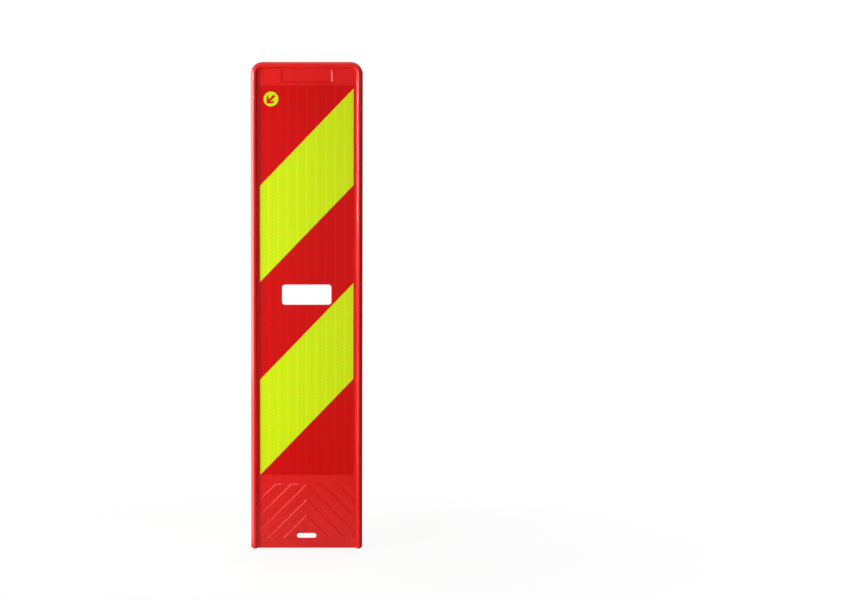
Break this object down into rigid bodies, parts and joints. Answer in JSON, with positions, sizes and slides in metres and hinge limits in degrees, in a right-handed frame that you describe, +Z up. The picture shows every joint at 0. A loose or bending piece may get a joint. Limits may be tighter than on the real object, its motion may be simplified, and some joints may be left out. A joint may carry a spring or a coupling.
{
  "type": "traffic delineation panel",
  "caption": "Tall flanged plastic traffic delineation panel with slanted reflective stripes on each face, a hand window, and a ribbed foot end with a pin slot that stands in a road foot.",
  "frame": {"origin": "middle of the flat foot end, halfway through the panel's depth", "axes": "+Z up the panel, -Y out of the front (lime) face, +X to the right seen from the front"},
  "size_m": [0.23, 0.026, 1],
  "materials": {
    "board": "satin moulded red plastic",
    "lime_sheeting": "fluorescent lime prismatic retroreflective film",
    "front_red_film": "red overlay film over prismatic sheeting",
    "yellow_sheeting": "yellow glass-bead retroreflective film",
    "rear_red_film": "red printed film over glass-bead sheeting"
  },
  "bodies": {
    "root": {"panel_body": "board", "front_sheeting": "lime_sheeting", "front_red_overlay": "front_red_film", "front_arrow": "front_red_film", "rear_sheeting": "yellow_sheeting", "rear_red_upper": "rear_red_film", "rear_red_middle": "rear_red_film", "rear_red_lower": "rear_red_film", "rear_arrow": "rear_red_film"}
  },
  "joints": []
}
